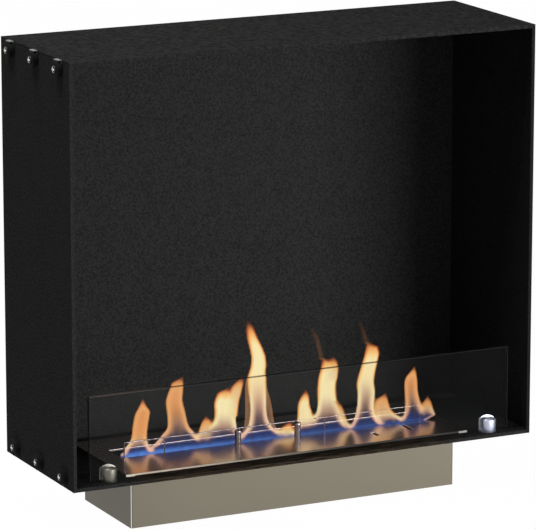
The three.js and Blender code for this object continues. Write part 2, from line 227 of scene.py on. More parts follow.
GRAIN_SCALE = 380.0
COAT_DARK = (0.0135, 0.0138, 0.0140)
COAT_LIGHT = (0.0350, 0.0350, 0.0340)
FLOOR_BLEND = 1.0 * MM  # over which the floor's painted reflection and painted light start at the plate's edges
FLAME_REFLECTION_START = (-10 * MM, 30 * MM)  # from the plate's left end, where the painted flame reflection on the lip starts
FLAME_REFLECTION_END = 0.6  # of the way from the middle to the plate's right end, where the painted flame reflection begins to fade


def coat_mottle(finish, scale=GRAIN_SCALE):
    """The fine light and dark of powder coat."""
    return finish.step(finish.noise(scale, detail=2.0, roughness=0.6), 0.3, 0.7)


def coated(finish, colour, mottle, relief):
    """Ends a powder-coat finish, which has no clear gloss over it."""
    return finish.surface(
        Base_Color=colour,
        Roughness=0.6 + 0.2 * mottle,
        Specular_IOR_Level=0.0,
        Normal=finish.bump(relief, 0.35, 0.0004),
    )


def powder_coat(name, level=1.0, grain_scale=GRAIN_SCALE):
    """Fine-textured matt black powder coat, at a level of lightness."""
    finish = Finish(name)
    mottle = coat_mottle(finish, grain_scale)
    cloud = finish.noise(40.0, detail=3.0)
    grain = finish.noise(1100.0, detail=2.0, roughness=0.6)
    dark, light = [tint(*(part * level for part in coat)) for coat in (COAT_DARK, COAT_LIGHT)]
    return coated(finish, finish.mix(0.75 * mottle + 0.25 * cloud, dark, light), mottle, grain + mottle)


def lip_coat():
    """The floor panel's coat, with a painted reflection of the flames as brownish streaks along its front
    lip, and painted light on the strip between the plate and the back panel.
    """
    finish = Finish("lip_coat")
    mottle = coat_mottle(finish)
    streak = finish.step(finish.noise((40.0, 300.0, 500.0), detail=3.0, roughness=0.6), 0.35, 0.7)
    ahead = 1 - from_edge(finish, 1, plate_low.y, (0.0, FLOOR_BLEND))
    left = from_edge(finish, 0, plate_low.x, FLAME_REFLECTION_START)
    right = 1 - finish.step(finish.along(0), FLAME_REFLECTION_END * plate_high.x, plate_high.x)
    painted_light_strip = from_edge(finish, 1, plate_high.y, (-FLOOR_BLEND, 0.0))
    coat = finish.mix(mottle, tint(*COAT_DARK), tint(*COAT_LIGHT))
    # Painted reflection of the flames, in brownish streaks on the lip.
    flame_reflection = finish.mix(streak, tint(0.010, 0.009, 0.008), tint(0.055, 0.040, 0.028))
    # Painted light: the strip between the plate and the back panel is lifted out of its shade.
    coat = finish.mix(painted_light_strip, coat, finish.mix(mottle, grey(0.045), grey(0.075)))
    return coated(finish, finish.mix(ahead * left * right, coat, flame_reflection), mottle, mottle)


def black_plastic():
    """Moulded black plastic of the wall spacers."""
    finish = Finish("black_plastic")
    grain = finish.noise(2200.0, detail=2.0)
    cloud = finish.noise(60.0, detail=2.0)
    return finish.surface(
        Base_Color=finish.mix(cloud, grey(0.008), grey(0.015)),
        Roughness=0.5 + 0.2 * grain,
        Specular_IOR_Level=0.02,
        Normal=finish.bump(grain, 0.15, 0.0003),
    )


def metal(finish, colour, relief, roughness, bump):
    """Ends a metal finish: its least roughness and spread, and its bump's strength and depth."""
    least, spread = roughness
    return finish.surface(
        Base_Color=colour,
        Metallic=1.0,
        Roughness=least + spread * relief,
        Normal=finish.bump(relief, *bump),
    )


def zinc():
    """Zinc plating of nuts and spring clips, dulled by handling."""
    finish = Finish("zinc")
    spangle = finish.noise(700.0, detail=3.0, roughness=0.6)
    cloud = finish.noise(150.0, detail=2.0)
    colour = finish.mix(cloud, tint(0.10, 0.10, 0.095), tint(0.24, 0.24, 0.23))
    return metal(finish, colour, spangle, roughness=(0.34, 0.2), bump=(0.1, 0.0003))


def screw_steel():
    """Blackened screws, with a painted glint in their cross recess."""
    finish = Finish("screw_steel")
    # The cross recess carries a painted glint.
    worn = finish.step(finish.stored("worn"), 0.1, 0.6)
    spangle = finish.noise(700.0, detail=3.0, roughness=0.6)
    colour = finish.mix(worn, tint(0.035, 0.035, 0.034), tint(0.96, 0.96, 0.94))
    return metal(finish, colour, spangle, roughness=(0.34, 0.2), bump=(0.1, 0.0003))


def satin_steel():
    """Ground stainless sheet of the tank and what hangs in it, with a painted highlight along the tank's
    front left corner.
    """
    finish = Finish("satin_steel")
    lines = finish.noise((18.0, 18.0, 1900.0), detail=3.0, roughness=0.6)
    cloud = finish.noise(7.0, detail=2.0)
    left = 1 - from_edge(finish, 0, tank_low.x, TANK_HIGHLIGHT_SPAN)
    front = 1 - from_edge(finish, 1, tank_low.y, TANK_HIGHLIGHT_SPAN)
    sheet = finish.mix(0.5 * lines + 0.5 * cloud, tint(0.104, 0.094, 0.072), tint(0.124, 0.112, 0.087))
    # A painted highlight on the tank's front left corner.
    colour = finish.mix(left * front, sheet, tint(0.85, 0.84, 0.80))
    return metal(finish, colour, lines, roughness=(0.40, 0.1), bump=(0.06, 0.0003))


def polished_steel():
    """Polished stainless of the top plate, hazed by heat, with a painted highlight along its front edge at
    the left that turns into painted shade towards the right.
    """
    finish = Finish("polished_steel")
    haze = finish.noise(30.0, detail=3.0, roughness=0.6)
    lines = finish.noise((30.0, 1400.0, 1400.0), detail=2.0, roughness=0.5)
    edge = 1 - from_edge(finish, 1, plate_low.y, PLATE_HIGHLIGHT_SPAN)
    fade = finish.step(finish.along(0), plate_low.x, HIGHLIGHT_FADE * plate_high.x)
    # A painted highlight on the front edge at the left, turning into painted shade towards the right.
    edge_highlight = finish.mix(fade, tint(0.40, 0.34, 0.28), tint(0.035, 0.032, 0.030))
    sheet = finish.mix(haze, tint(0.55, 0.47, 0.44), tint(0.70, 0.60, 0.56))
    return finish.surface(
        Base_Color=finish.mix(edge, sheet, edge_highlight),
        Metallic=1.0,
        Roughness=0.20 + 0.10 * haze + 0.35 * edge,
        Normal=finish.bump(lines, 0.02, 0.0001),
    )


def bright_wire():
    """Bright-drawn steel of the guard rail and its posts, darkened as a painted reflection of the dark
    surroundings it mirrors.
    """
    finish = Finish("bright_wire")
    haze = finish.noise(90.0, detail=3.0, roughness=0.6)
    # Painted reflection: the steel's colour is darkened for the dark surroundings it mirrors.
    colour = finish.mix(haze, tint(0.14, 0.12, 0.13), tint(0.22, 0.19, 0.20))
    return metal(finish, colour, haze, roughness=(0.12, 0.1), bump=(0.04, 0.0002))


def left_to_right(finish):
    """0 at the casing's left and 1 at its right."""
    return finish.step(finish.along(0), -REFLECTION_BLEND, REFLECTION_BLEND)


def chrome():
    """Satin chrome of the glass holders, with painted reflections: dark and warm at the left, pale and
    cool towards the right.
    """
    finish = Finish("chrome")
    haze = finish.noise(260.0, detail=3.0, roughness=0.6)
    warm = finish.mix(haze, tint(0.11, 0.108, 0.09), tint(0.17, 0.165, 0.14))
    cool = finish.mix(haze, tint(0.36, 0.38, 0.47), tint(0.44, 0.47, 0.57))
    # Painted reflections, warm and dark at the left and cool and pale at the right.
    colour = finish.mix(left_to_right(finish), warm, cool)
    return metal(finish, colour, haze, roughness=(0.36, 0.12), bump=(0.05, 0.0002))


def clip_steel():
    """Bright spring steel of the plate's corner clips, with a painted reflection that is darker towards
    the right.
    """
    finish = Finish("clip_steel")
    haze = finish.noise(260.0, detail=3.0, roughness=0.6)
    # Painted reflection, bright at the left and darker at the right.
    colour = finish.mix(left_to_right(finish), tint(0.62, 0.58, 0.50), tint(0.30, 0.30, 0.30))
    return metal(finish, colour, haze, roughness=(0.30, 0.12), bump=(0.05, 0.0002))


def ceramic_wool():
    """Off-white ceramic wool, matted and a little scorched."""
    finish = Finish("ceramic_wool")
    fibres = finish.noise((260.0, 900.0, 900.0), detail=4.0, roughness=0.7)
    cloud = finish.noise(35.0, detail=3.0)
    return finish.surface(
        Base_Color=finish.mix(0.6 * cloud + 0.4 * fibres, tint(0.42, 0.39, 0.34), tint(0.74, 0.72, 0.67)),
        Roughness=0.9 + 0.1 * fibres,
        Normal=finish.bump(fibres + cloud, 0.7, 0.0012),
    )


def silicone():
    """Grey silicone pads between glass and holder."""
    finish = Finish("silicone")
    cloud = finish.noise(300.0, detail=2.0)
    return finish.surface(
        Base_Color=finish.mix(cloud, grey(0.34), grey(0.46)),
        Roughness=0.55 + 0.15 * cloud,
        Normal=finish.bump(cloud, 0.1, 0.0003),
    )


def clear_glass():
    """Float glass, nearly unseen face on, its ground edges dark, with a painted brownish highlight on its
    upper edge that fades out towards the right.
    """
    finish = Finish("clear_glass")
    left = 1 - from_edge(finish, 0, glass_low.x, (0.0, GLASS_RIM))
    right = from_edge(finish, 0, glass_high.x, (-GLASS_RIM, 0.0))
    top = from_edge(finish, 2, glass_high.z, (-GLASS_RIM, 0.0))
    edge = finish.math("MAXIMUM", finish.math("MAXIMUM", left, right), top)
    shade = from_edge(finish, 0, glass_low.x, GLASS_HIGHLIGHT_FADE)
    smear = finish.noise(14.0, detail=3.0)
    # A painted highlight on the upper edge at the left, fading to dark towards the right.
    top_edge = finish.mix(shade, tint(0.16, 0.13, 0.11), tint(0.008, 0.008, 0.008))
    ground = finish.mix(top, grey(0.004), top_edge)
    return finish.surface(
        Base_Color=finish.mix(edge, tint(0.13, 0.135, 0.135), ground),
        Roughness=0.03 + 0.05 * smear,
        Specular_IOR_Level=0.06,
        Alpha=0.014 + 0.012 * smear + 0.72 * edge,
    )


# Heat 0 is the blue foot of a flame and heat 1 its reddish tip.
FLAME_COLOURS = (
    (0.00, tint(0.14, 0.38, 1.00)),
    (0.10, tint(0.08, 0.14, 0.55)),
    (0.20, tint(0.20, 0.15, 0.25)),
    (0.32, tint(0.95, 0.55, 0.38)),
    (0.44, tint(1.00, 0.74, 0.46)),
    (0.55, tint(1.00, 0.89, 0.48)),
    (0.68, tint(1.00, 0.60, 0.20)),
    (0.82, tint(0.84, 0.31, 0.09)),
    (1.00, tint(0.40, 0.08, 0.02)),
)
WARM_COLOUR = tint(0.92, 0.38, 0.13)
GLOW_LAYERS = ("glow_heat", "glow_body", "glow_warmth")


def flame_glow():
    """Burning vapour: how hot, dense and orange it is are stored on the mesh."""
    finish = Finish("flame_glow")
    heat, body, warmth = [finish.stored(name) for name in GLOW_LAYERS]
    streak = finish.noise((150.0, 90.0, 16.0), detail=2.0, roughness=0.5)
    colour = finish.node(
        "ShaderNodeValToRGB",
        {"stops": FLAME_COLOURS},
        {"Fac": heat + 0.2 * (streak - 0.5)},
    )["Color"]
    return finish.surface(
        Base_Color=grey(0.0),
        Roughness=1.0,
        Specular_IOR_Level=0.0,
        Emission_Color=finish.mix(warmth, colour, WARM_COLOUR),
        Emission_Strength=1.0,
        Alpha=body * (0.8 + 0.4 * streak),
    )


finishes = {
    "powder_coat": powder_coat("powder_coat"),
    "top_coat": powder_coat("top_coat", level=0.88, grain_scale=190.0),
    # Painted shade: the powder coat darkened for the right side panel.
    "shaded_coat": powder_coat("shaded_coat", level=0.6),
    "lip_coat": lip_coat(),
    "black_plastic": black_plastic(),
    "zinc": zinc(),
    "screw_steel": screw_steel(),
    "satin_steel": satin_steel(),
    "polished_steel": polished_steel(),
    "bright_wire": bright_wire(),
    "chrome": chrome(),
    "clip_steel": clip_steel(),
    "ceramic_wool": ceramic_wool(),
    "silicone": silicone(),
    "clear_glass": clear_glass(),
}
glow = flame_glow()


# ---------------- making pieces

WELD = 1e-6
FLAT_ANGLE = math.radians(0.5)
SHARP_ANGLE = math.radians(35.0)


def piece(name, mesh, body, slot=None, replaced=(), finish=None):
    """Puts a mesh in the scene as a piece that rides on a body, in its slot's finish or another."""
    made = bpy.data.objects.new(name, mesh)
    bpy.context.scene.collection.objects.link(made)
    if slot:
        mesh.materials.clear()
        mesh.materials.append(finishes[finish or slot])
    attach(made, body)
    if replaced:
        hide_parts(*replaced)
    return made


def to_mesh(shape, name, smooth=False):
    """Turns a bmesh into a mesh, shaded smooth between its sharp edges if asked."""
    mesh = bpy.data.meshes.new(name)
    shape.to_mesh(mesh)
    shape.free()
    if smooth:
        mesh.shade_smooth()
        mesh.set_sharp_from_angle(angle=SHARP_ANGLE)
    return mesh


def of_node(node):
    """A merged copy of a CAD node's mesh, its flat faces whole again."""
    shape = bmesh.new()
    shape.from_mesh(nodes[node].data)
    bmesh.ops.remove_doubles(shape, verts=shape.verts, dist=WELD)
    bmesh.ops.dissolve_limit(shape, angle_limit=FLAT_ANGLE, verts=shape.verts, edges=shape.edges)
    return shape


def rounded(shape, radius, segments=2, shortest=4.0):
    """Rounds the sharp edges of a shape, leaving those that are shorter than a few radii."""
    sharp = [
        edge
        for edge in shape.edges
        if edge.is_manifold
        and edge.calc_face_angle(0.0) > SHARP_ANGLE
        and edge.calc_length() > shortest * radius
    ]
    bmesh.ops.bevel(
        shape,
        geom=sharp,
        offset=radius,
        offset_type="OFFSET",
        segments=segments,
        profile=0.5,
        affect="EDGES",
        material=-1,
        clamp_overlap=True,
    )


def of_kind(made, kind):
    """Those of some edges, faces and points that are of one kind."""
    return [part for part in made if isinstance(part, kind)]


def dressed(node, name, body, slot, radius, segments=2, finish=None):
    """A CAD node's shape with its edges rounded by a radius in mm, as a piece that stands for it."""
    shape = of_node(node)
    rounded(shape, radius * MM, segments)
    return piece(name, to_mesh(shape, name), body, slot, (node,), finish)


def spun(profile, sides=64):
    """A solid turned about Z from its profile, which runs from pole to pole as radius and height in mm."""
    shape = bmesh.new()
    points = [shape.verts.new((radius * MM, 0.0, height * MM)) for radius, height in profile]
    chain = [shape.edges.new(pair) for pair in zip(points, points[1:])]
    bmesh.ops.spin(
        shape,
        geom=points + chain,
        cent=(0.0, 0.0, 0.0),
        axis=(0.0, 0.0, 1.0),
        angle=math.tau,
        steps=sides,
        use_merge=True,
    )
    bmesh.ops.remove_doubles(shape, verts=shape.verts, dist=WELD)
    bmesh.ops.recalc_face_normals(shape, faces=shape.faces)
    return shape


def block(low, high):
    """A box between two corners, in metres."""
    shape = bmesh.new()
    middle = (Vector(low) + Vector(high)) / 2
    size = Vector(high) - Vector(low)
    place = Matrix.Translation(middle) @ Matrix.Diagonal((*size, 1.0))
    bmesh.ops.create_cube(shape, size=1.0, matrix=place)
    return shape


def cut_away(shape, *cutters):
    """The shape less each cutter."""
    whole = bpy.data.objects.new("whole", to_mesh(shape, "whole"))
    bpy.context.scene.collection.objects.link(whole)
    tools = []
    for cutter in cutters:
        tool = bpy.data.objects.new("tool", to_mesh(cutter, "tool"))
        bpy.context.scene.collection.objects.link(tool)
        modifier = whole.modifiers.new("cut", "BOOLEAN")
        modifier.operation = "DIFFERENCE"
        modifier.solver = "EXACT"
        modifier.object = tool
        tools.append(tool)
    evaluated = whole.evaluated_get(bpy.context.evaluated_depsgraph_get())
    left = bmesh.new()
    left.from_mesh(evaluated.to_mesh())
    evaluated.to_mesh_clear()
    for used in (whole, *tools):
        bpy.data.objects.remove(used)
    bmesh.ops.remove_doubles(left, verts=left.verts, dist=WELD)
    return left


def placed(shape, middle, turn=None):
    """Turns a shape about the origin and moves it into place."""
    matrix = Matrix.Translation(middle) @ (turn or Matrix.Identity(4))
    bmesh.ops.transform(shape, matrix=matrix, verts=shape.verts)
    return shape


SIDES = ("left", "right")
TO_LEFT = Matrix.Rotation(-math.pi / 2, 4, "Y")


# ---------------- casing

PANEL_EDGE = 0.35

# The top's coat looks coarser and a little darker, and the right side's coat is darkened as painted shade.
PANEL_FINISHES = {
    "left_side": "powder_coat",
    "right_side": "shaded_coat",
    "top": "top_coat",
    "floor": "lip_coat",
    "back": "powder_coat",
}
for panel, coat in PANEL_FINISHES.items():
    dressed(f"casing_{panel}", f"{panel}_panel", "casing", "powder_coat", PANEL_EDGE, finish=coat)


# ---------------- spacers on the left panel

SPACER_ROWS = ("upper", "lower")
SPACER_PLACES = ("front", "middle", "rear")
SPACER_RADIUS = 9.75
SPACER_EDGE = 0.7
EDGE_TURN = 0.3  # share of that edge at which its slope changes
GROOVE_OUTER = 8.1
GROOVE_INNER = 6.4
GROOVE_DEPTH = 0.4
NUT_EDGE = 0.3
CLIP_EDGE = 0.2
SCREW_SIDES = 48
SCREW_HEAD_RADIUS = 4.5
SCREW_SHAFT_RADIUS = 2.5
SHAFT_EDGE = 0.4
PAN_HEAD = ((1.0, 0.0), (1.0, 0.35), (0.94, 0.62), (0.80, 0.82), (0.55, 0.95))  # of its radius, height
CROSS_LENGTH = 6.6
CROSS_WIDTH = 1.9
CROSS_DEPTH = 1.0
CUT_OVER = 0.5  # by which a cutter stands proud of what it cuts
GLINT_DEPTH = 0.7  # share of the recess's depth below which the painted glint lies
GLINT_REACH = 0.6  # from the screw's middle, as a share of the recess's length, within which the painted glint lies
GLINT_ABOVE = 0.1  # height over the seat above which the painted glint may lie


def bushing(height):
    """A spacer's turned body, with a shallow groove round the screw's seat."""
    return spun((
        (0.0, 0.0),
        (SPACER_RADIUS, 0.0),
        (SPACER_RADIUS, height - SPACER_EDGE),
        (SPACER_RADIUS - EDGE_TURN * SPACER_EDGE, height - EDGE_TURN * SPACER_EDGE),
        (SPACER_RADIUS - SPACER_EDGE, height),
        (GROOVE_OUTER, height),
        (GROOVE_OUTER - GROOVE_DEPTH, height - GROOVE_DEPTH),
        (GROOVE_INNER + GROOVE_DEPTH, height - GROOVE_DEPTH),
        (GROOVE_INNER, height),
        (0.0, height),
    ))


def pan_head_screw(head_height, shaft_length):
    """A pan-head screw along Z with its seat at z = 0, a cross recess in its head and a painted glint
    stored at the recess's floor.
    """
    shape = spun((
        (0.0, -shaft_length),
        (SCREW_SHAFT_RADIUS - SHAFT_EDGE, -shaft_length),
        (SCREW_SHAFT_RADIUS, SHAFT_EDGE - shaft_length),
        (SCREW_SHAFT_RADIUS, 0.0),
        *((across * SCREW_HEAD_RADIUS, up * head_height) for across, up in PAN_HEAD),
        (0.0, head_height),
    ), SCREW_SIDES)
    arms = []
    for length, width in ((CROSS_LENGTH, CROSS_WIDTH), (CROSS_WIDTH, CROSS_LENGTH)):
        half = Vector((length, width, 0.0)) / 2 * MM
        low = Vector((-half.x, -half.y, (head_height - CROSS_DEPTH) * MM))
        arms.append(block(low, (half.x, half.y, (head_height + CUT_OVER) * MM)))
    screw = cut_away(shape, *arms)
    # The recess's floor stores where the painted glint goes.
    worn = screw.verts.layers.float.new("worn")
    for vertex in screw.verts:
        deep = vertex.co.z < (head_height - GLINT_DEPTH * CROSS_DEPTH) * MM
        near = vertex.co.xy.length < GLINT_REACH * CROSS_LENGTH * MM
        vertex[worn] = 1.0 if deep and near and vertex.co.z > GLINT_ABOVE * MM else 0.0
    return screw


def add_spacer(label):
    """One spacer with its screw, nut and, in the upper row, clip."""
    low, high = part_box(f"spacer_{label}")
    middle = (low + high) / 2
    seat = Vector((high.x, middle.y, middle.z))
    face = Vector((low.x, middle.y, middle.z))
    body = placed(bushing((high.x - low.x) / MM), seat, TO_LEFT)
    mesh = to_mesh(body, "spacer", smooth=True)
    piece(f"spacer_body_{label}", mesh, "casing", "black_plastic", (f"spacer_{label}",))
    screw_low, screw_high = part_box(f"spacer_screw_{label}")
    screw = pan_head_screw((low.x - screw_low.x) / MM, (screw_high.x - low.x) / MM)
    mesh = to_mesh(placed(screw, face, TO_LEFT), "screw", smooth=True)
    screw_name = f"spacer_cross_screw_{label}"
    piece(screw_name, mesh, "casing", "zinc", (f"spacer_screw_{label}",), "screw_steel")
    dressed(f"spacer_nut_{label}", f"spacer_hex_nut_{label}", "casing", "zinc", NUT_EDGE)
    if f"spacer_clip_{label}" in nodes:
        dressed(f"spacer_clip_{label}", f"spacer_spring_clip_{label}", "casing", "zinc", CLIP_EDGE)


for row in SPACER_ROWS:
    for place in SPACER_PLACES:
        add_spacer(f"{row}_{place}")


# ---------------- glass and its holders

HOLDER_RADIUS = 10.5
HOLDER_DOME = 4.5
DOME_STEPS = 14
HOLDER_EDGE = 0.35
HOLDER_SIDES = 96
PAD_EDGE = 0.25
CLAMP_SCREW_EDGE = 0.2
GLASS_EDGE = 0.5
SLOT_OVER = 2.0  # by which the slot's cutter stands proud of the holder


def holder_body(height):
    """A holder's turned body with its domed top, standing on z = 0."""
    cap_radius = (HOLDER_RADIUS**2 + HOLDER_DOME**2) / (2 * HOLDER_DOME)
    cap_angle = math.asin(HOLDER_RADIUS / cap_radius)
    shoulder = height - HOLDER_DOME
    cap = []
    for i in range(DOME_STEPS + 1):
        angle = cap_angle * (1 - i / DOME_STEPS)
        rise = cap_radius * (math.cos(angle) - math.cos(cap_angle))
        cap.append((cap_radius * math.sin(angle), shoulder + rise))
    return spun(((0.0, 0.0), (HOLDER_RADIUS, 0.0), *cap), HOLDER_SIDES)


def add_holder(side):
    """One chrome holder, slotted for the glass and its pad, with its clamp screw."""
    node = f"glass_holder_{side}"
    low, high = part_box(node)
    middle = (low + high) / 2
    pad_low, pad_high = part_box(f"glass_pad_{side}")
    body = placed(holder_body((high.z - low.z) / MM), (middle.x, middle.y, low.z))
    reach = SLOT_OVER * MM
    slot = block(
        (low.x - reach, pad_low.y, pad_low.z),
        (high.x + reach, pad_high.y, high.z + reach),
    )
    body = cut_away(body, slot)
    rounded(body, HOLDER_EDGE * MM, shortest=0.0)
    piece(f"chrome_holder_{side}", to_mesh(body, "holder", smooth=True), "casing", "chrome", (node,))
    dressed(f"glass_pad_{side}", f"silicone_pad_{side}", "casing", "silicone", PAD_EDGE)
    dressed(f"glass_clamp_screw_{side}", f"clamp_screw_{side}", "casing", "zinc", CLAMP_SCREW_EDGE)


for side in SIDES:
    add_holder(side)
dressed("glass_pane", "clear_pane", "glass", "clear_glass", GLASS_EDGE)


# ---------------- burner

SHEET_EDGE = 0.25
POST_RADIUS = 4.25
RAIL_RADIUS = 0.8
RAIL_BEND = 2.4
BEND_STEPS = 6
UPRIGHT_XS = (-145.0, 67.0)

# Node, piece, body, finish, edge radius in mm and steps of its round.
BURNER_PARTS = (
    ("burner_tank", "steel_tank", "burner", "satin_steel", 0.8, 3),
    ("burner_top_plate", "polished_top_plate", "burner", "polished_steel", 0.6, 3),
    ("fuel_tray", "steel_tray", "burner", "satin_steel", SHEET_EDGE),
    ("mesh_cover", "steel_mesh", "burner", "satin_steel", 0.2),
    ("slot_shutter", "steel_shutter", "shutter", "satin_steel", 0.3),
    ("shutter_stud", "shutter_pin", "shutter", "zinc", 0.3),
)
for part in BURNER_PARTS:
    dressed(*part)
for side in SIDES:
    dressed(f"shutter_guide_{side}", f"steel_guide_{side}", "burner", "satin_steel", SHEET_EDGE)
    clip = f"plate_corner_clip_{side}"
    dressed(clip, f"bright_corner_clip_{side}", "burner", "chrome", SHEET_EDGE, finish="clip_steel")


# A post's outline: how much slimmer it is, at a height above its foot or a depth below its top.
POST_FOOT = ((0.0, 0.0), (0.0, 1.2), (0.35, 1.5))
POST_HEAD = ((0.35, 4.0), (0.0, 3.6), (0.0, 1.0), (0.3, 0.35), (1.0, 0.0))


def add_post(side):
    """A turned post, slimmer between its foot and its rounded head."""
    node = f"rail_post_{side}"
    low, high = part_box(node)
    middle = (low + high) / 2
    height = (high.z - low.z) / MM
    shape = spun((
        (0.0, 0.0),
        *((POST_RADIUS - slimmer, above) for slimmer, above in POST_FOOT),
        *((POST_RADIUS - slimmer, height - below) for slimmer, below in POST_HEAD),
        (0.0, height),
    ))
    mesh = to_mesh(placed(shape, (middle.x, middle.y, low.z)), "post", smooth=True)
    piece(f"turned_post_{side}", mesh, "burner", "polished_steel", (node,), "bright_wire")


def wire(points, sides=16):
    """A round wire drawn along a chain of points, its ends closed."""
    shape = bmesh.new()
    made = bmesh.ops.create_circle(shape, cap_ends=True, segments=sides, radius=RAIL_RADIUS * MM)
    ring = made["verts"]
    normal = Vector((0.0, 0.0, 1.0))
    place = Vector((0.0, 0.0, 0.0))
    face = shape.faces[:]
    for k, point in enumerate(points):
        ahead = points[min(k + 1, len(points) - 1)] - points[max(k - 1, 0)]
        ahead.normalize()
        turn = normal.rotation_difference(ahead).to_matrix().to_4x4()
        if k:
            made = bmesh.ops.extrude_face_region(shape, geom=face)["geom"]
            face = of_kind(made, bmesh.types.BMFace)
            ring = of_kind(made, bmesh.types.BMVert)
        move = Matrix.Translation(point) @ turn @ Matrix.Translation(-place)
        bmesh.ops.transform(shape, matrix=move, verts=ring)
        normal, place = ahead, point
    bmesh.ops.recalc_face_normals(shape, faces=shape.faces)
    return shape


def bent_corner(corner, into, out):
    """The points of a rounded corner between two directions."""
    start = corner - into * RAIL_BEND * MM
    end = corner + out * RAIL_BEND * MM
    points = []
    for k in range(BEND_STEPS + 1):
        t = k / BEND_STEPS
        points.append((1 - t) ** 2 * start + 2 * t * (1 - t) * corner + t**2 * end)
    return points


def add_rail():
    """The guard rail: one wire bent down at both ends, and two uprights under it."""
    radius = RAIL_RADIUS * MM
    left, right = rail_low.x + radius, rail_high.x - radius
    back, top = (rail_low.y + rail_high.y) / 2, rail_high.z - radius
    foot = rail_low.z
    up, across = Vector((0.0, 0.0, 1.0)), Vector((1.0, 0.0, 0.0))
    hoop = [Vector((left, back, foot))]
    hoop += bent_corner(Vector((left, back, top)), up, across)
    hoop += bent_corner(Vector((right, back, top)), across, -up)
    hoop.append(Vector((right, back, foot)))
    mesh = to_mesh(wire(hoop), "hoop", smooth=True)
    piece("guard_hoop", mesh, "burner", "polished_steel", ("guard_rail",), "bright_wire")
    for k, x in enumerate(UPRIGHT_XS):
        upright = wire([Vector((x * MM, back, foot)), Vector((x * MM, back, top))])
        mesh = to_mesh(upright, "upright", smooth=True)
        piece(f"guard_upright_{k + 1}", mesh, "burner", "polished_steel", (), "bright_wire")


add_rail()
for side in SIDES:
    add_post(side)


WOOL_CUTS = (60, 18, 8)  # along X, Y and Z
WOOL_DEPTH = 1.0  # of its unevenness, in mm
WOOL_MEAN = 0.6
WOOL_WAVE = 0.25
WAVE_SHIFT = 1.3
SHORT_WAVES = (310, 270)  # along X and Y, in radians per metre
LONG_WAVES = (127, 300)  # along X and Z


def wool_wave(place):
    """The unevenness of the wool at a place, greater where its face lies deeper."""
    short = math.sin(place.x * SHORT_WAVES[0]) * math.sin(place.y * SHORT_WAVES[1] + WAVE_SHIFT)
    return short + math.sin(place.x * LONG_WAVES[0] + place.z * LONG_WAVES[1])


def add_wool():
    """The ceramic wool block, its edges soft and its faces slightly uneven."""
    shape = block(wool_low, wool_high)
    for axis, cuts in enumerate(WOOL_CUTS):
        half = (wool_high - wool_low)[axis] / 2
        across = [e for e in shape.edges if abs(e.verts[0].co[axis] - e.verts[1].co[axis]) > half]
        bmesh.ops.subdivide_edges(shape, edges=across, cuts=cuts, use_grid_fill=True)
    middle = (wool_low + wool_high) / 2
    for vertex in shape.verts:
        inward = (middle - vertex.co).normalized()
        vertex.co += inward * WOOL_DEPTH * MM * (WOOL_MEAN + WOOL_WAVE * wool_wave(vertex.co))
    bmesh.ops.smooth_vert(
        shape, verts=shape.verts, factor=0.5, use_axis_x=True, use_axis_y=True, use_axis_z=True
    )
    mesh = to_mesh(shape, "wool", smooth=True)
    piece("wool_block", mesh, "burner", "ceramic_wool", ("absorber_block",))


add_wool()


# ---------------- finishes of the CAD nodes

def finish_nodes():
    """Gives each CAD node the finish of its material slot in the record."""
    for part in frame["record"]["subparts"]:
        materials = nodes[part["node"]].data.materials
        materials.clear()
        materials.append(finishes[part["material_slot"]])


# ---------------- flames

# Heights are above the casing's lower edge, and places along X and Y from its middle and its back, in mm.
CASING_UNDER = -250.0
FLAME_FOOT = 4.7  # above the shutter's way
FLAME_LINE_X = -197.0  # where the line of the flames starts
FLAME_LINE_Y = -100.0
FLAME_LINE_SLOPE = -0.04
SLOT_END = 197.0
SPREAD_HEIGHT = 13.0  # from which a flame may lean out over the slot's end
FLAME_SIDES = 40
STATION_STEP = 2.0
FLAME_DEPTH_SHARE = 0.8  # of its width
FLAME_DEPTH_MOST = 7.5
FLAME_GRID = 1.5  # between the points of the row of flames
FLAME_LEFT = -206.0
FLAME_RIGHT = 226.0
FLAME_TOP = 160.0
BASE_TOP = 8.5  # of the band from which the tongues rise
BASE_LEFT = -197.0
BASE_RIGHT = 214.0
JOINING = 6.0  # how far apart two tongues still flow into each other
HALO = 1.2  # by which the glow runs out past a tongue's outline
SOFT_EDGE = 1.2  # depth over which a tongue's outline fades in
BLEND_REACH = 5.0  # over which one tongue's colour passes into the next
RIB_INSET = 1.8  # of the bright edge of a tongue, inside its outline
RIB_WIDTH = 2.8
FRINGE_WIDTH = 3.4  # of the orange fringe round a filled flame
TIP_FADE = 10.0  # height over which a tip fades out, at least
TIP_FADE_SHARE = 0.12  # of the tip's height
TIP_REACH = 2.0  # how far down a tip's colour reaches, in fades
TIP_STRETCH = 4.0  # how far a tip runs on above its last station
TIP_HALF = 1.2  # half width of a tongue at its last station, at least
POINT_HALF = 0.3  # and where it ends
FILL_SPAN = (0.36, 1.15)  # over which a tongue fills, in shares of its fill height
CUT_FOOT = 26.0  # above this height, a tongue's first station is a rounded end
SLOPE_STEP = 0.5  # height over which a tongue's lean is taken
THINNEST = 0.1  # half thickness of the row, at least

# Levels of heat and density, and the heights over which they change.
RIB_HEIGHTS = (3.0, 9.0)
RIB_HEATS = (0.34, 0.43)
RIB_HEAT_HEIGHTS = (10.0, 30.0)
RIB_BODY = 0.96
HOLLOW_HEATS = (0.09, 0.26)
HOLLOW_HEAT_HEIGHTS = (9.0, 32.0)
HOLLOW_BODIES = (0.19, 0.20)
HOLLOW_BODY_HEIGHTS = (14.0, 40.0)
FILL_HEAT = 0.54
FILL_BODY = 0.93
FRINGE_HEAT = 0.27  # added in the fringe
TIP_HEAT = 0.34  # added at the tip
WARM_THINNING = 0.10  # a warm tongue is thinner between its ribs
ORANGE_HEATS = (0.24, 0.46)  # over which a warm tongue turns orange
ORANGE_HEIGHTS = (8.0, 34.0)
ORANGE_LOST = (0.6, 0.12)  # at a tip, and at a rib

# Dim tongues round one of the row, each a piece of its own.
DIM_TONGUES = ("flame_7",)
